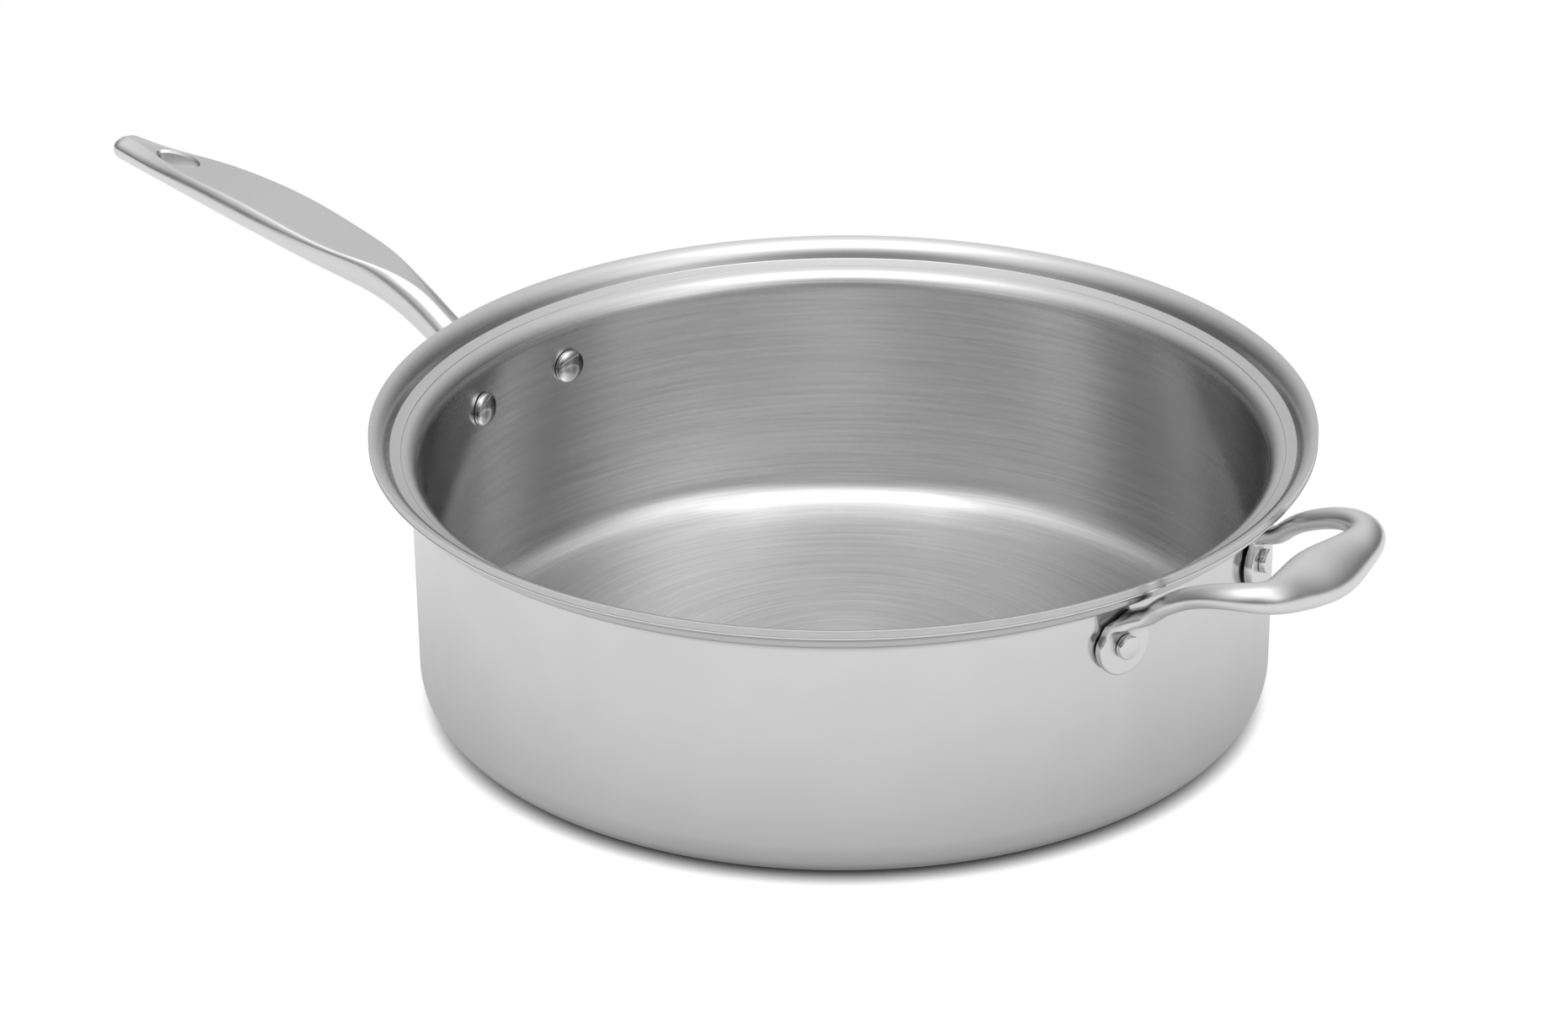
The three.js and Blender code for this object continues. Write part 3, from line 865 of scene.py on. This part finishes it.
# Shade on the floor under the pan: reach in metres, how open the darkest and the lightest places are, and
# their tones. The camera sees the narrow one, and metal sees the wide one.
CONTACT_SHADE = (0.008, (0.1, 0.7), (0.03, 1))
WIDE_SHADE = (0.2, (0.2, 0.95), (0.25, 1))
SHADE_SAMPLES = 16
FLOOR_REACH_METRES = 6
FLOOR_TONE = 0.8
FILL_TONE = 0.3
LAMP_DISTANCE_METRES = 2

# White horizon that metal sees: its tone, and how high in a unit direction it has faded out
SWEEP_TONE = 1.1
SWEEP_TOP = 0.12

# Soft lights that metal sees in the sky: turn from the camera's side, rise, narrowness and brightness
SKY_LIGHTS = [
    (180, 88, 1, 0.4),
    (180, 86, 4, 1.15),
    (180, 18, 8, 0.66),
    (80, 25, 6, 0.12),
    (-80, 25, 6, 0.06),
    (0, 62, 10, 0.2),
    (48, 40, 14, 1.0),
    (-48, 40, 14, 0.5),
]

scene = bpy.context.scene


def direction(turn, rise):
    """The way to a place, turned round from the camera's side and raised above the floor."""
    turn, rise = math.radians(VIEW_TURN + turn), math.radians(rise)
    return Vector((math.cos(rise) * math.sin(turn), -math.cos(rise) * math.cos(turn), math.sin(rise)))


def floor_shade(shader, reach, openings, tones):
    """White that darkens where the pan stands within a reach of the floor."""
    closed = shader.node("AmbientOcclusion", {"Distance": reach}, samples=SHADE_SAMPLES).outputs["AO"]
    return shader.ramp(closed, openings, [grey(tone) for tone in tones])


def white_floor():
    """A white sweep that darkens only under and beside the pan."""
    shader = Shader("white_floor")
    contact = floor_shade(shader, *CONTACT_SHADE)
    wide = floor_shade(shader, *WIDE_SHADE)
    to_camera = shader.node("LightPath").outputs["Is Camera Ray"]
    shade = shader.node("Mix", {0: to_camera, 6: wide, 7: contact}, data_type="RGBA").outputs[2]
    glow = shader.node("Emission", {"Color": shade, "Strength": 1}).outputs[0]
    matt = shader.node("BsdfDiffuse", {"Color": grey(FLOOR_TONE)}).outputs[0]
    mix = shader.node("MixShader", {0: shader.background_rays(), 1: matt, 2: glow}).outputs[0]
    shader.tree.nodes.remove(shader.surface)
    shader.set(shader.tree.nodes["Material Output"], "Surface", mix)
    shader.material.cycles.emission_sampling = "NONE"
    return shader.material


def add_floor():
    reach = FLOOR_REACH_METRES / MM
    corners = [(-reach, -reach, 0), (reach, -reach, 0), (reach, reach, 0), (-reach, reach, 0)]
    floor = new_object("floor", corners, [(0, 1, 2, 3)])
    floor.data.materials.append(white_floor())


def add_world():
    """White to the eye; metal sees the soft lights above a white horizon."""
    world = bpy.data.worlds.new("studio")
    world.use_nodes = True
    scene.world = world
    nodes = Nodes(world.node_tree)

    def math_node(operation, *values):
        return nodes.node("Math", dict(enumerate(values)), operation=operation).outputs[0]

    def background(tone, strength=1):
        inputs = {"Color": grey(tone), "Strength": strength}
        return nodes.node("Background", inputs).outputs[0]

    def mix(share, first, second):
        return nodes.node("MixShader", {0: share, 1: first, 2: second}).outputs[0]

    way = nodes.node("TexCoord").outputs["Generated"]
    lights = 0
    for turn, rise, narrowness, brightness in SKY_LIGHTS:
        ends = {0: way, 1: direction(turn, rise)}
        facing = nodes.node("VectorMath", ends, operation="DOT_PRODUCT").outputs["Value"]
        glow = math_node("POWER", math_node("MAXIMUM", facing, 0), narrowness)
        lights = math_node("MULTIPLY_ADD", glow, brightness, lights)
    height = nodes.node("SeparateXYZ", {0: way}).outputs["Z"]
    fade = {"Value": height, "From Min": 0, "From Max": SWEEP_TOP, "To Min": SWEEP_TONE, "To Max": 0}
    sweep = nodes.node("MapRange", fade, interpolation_type="SMOOTHSTEP").outputs["Result"]
    studio = background(1, math_node("MAXIMUM", lights, sweep))
    lit = mix(nodes.background_rays(), background(FILL_TONE), studio)
    to_camera = nodes.node("LightPath").outputs["Is Camera Ray"]
    seen = mix(to_camera, lit, background(1))
    nodes.set(world.node_tree.nodes["World Output"], "Surface", seen)
    world.cycles.sampling_method = "NONE"


def add_softbox(name, turn, rise, width, height, radiance):
    """A lamp of even brightness, its sides in metres, turned round from the camera's side and raised."""
    place = direction(turn, rise) * LAMP_DISTANCE_METRES
    lamp = bpy.data.lights.new(name, "AREA")
    lamp.shape = "RECTANGLE"
    lamp.size, lamp.size_y = width, height
    lamp.energy = radiance * math.pi * width * height
    obj = bpy.data.objects.new(name, lamp)
    obj.location = place
    obj.rotation_euler = (-place).to_track_quat("-Z", "Y").to_euler()
    obj.visible_camera = False
    scene.collection.objects.link(obj)


def add_camera():
    data = bpy.data.cameras.new("camera")
    data.sensor_fit = "HORIZONTAL"
    data.sensor_width = SENSOR_WIDTH
    data.lens = SENSOR_WIDTH * FOCAL_PIXELS / IMAGE_WIDTH_PIXELS
    camera = bpy.data.objects.new("camera", data)
    turn, rise = math.radians(VIEW_TURN), math.radians(VIEW_RISE)
    place = (direction(0, VIEW_RISE) * VIEW_DISTANCE + Vector((0, 0, AIM_HEIGHT))) * MM
    camera.matrix_world = (
        Matrix.Translation(place)
        @ Matrix.Rotation(turn, 4, "Z")
        @ Matrix.Rotation(math.radians(90) - rise, 4, "X")
        @ Matrix.Rotation(math.atan2(AIM_RIGHT_PIXELS, FOCAL_PIXELS), 4, "Y")
        @ Matrix.Rotation(math.atan2(AIM_DOWN_PIXELS, FOCAL_PIXELS), 4, "X")
        @ Matrix.Rotation(-math.radians(VIEW_ROLL), 4, "Z")
    )
    scene.collection.objects.link(camera)
    scene.camera = camera


add_floor()
add_world()
add_softbox("overhead", turn=0, rise=82, width=1.3, height=1.3, radiance=0.9)
add_camera()
scene.view_settings.view_transform = "Standard"
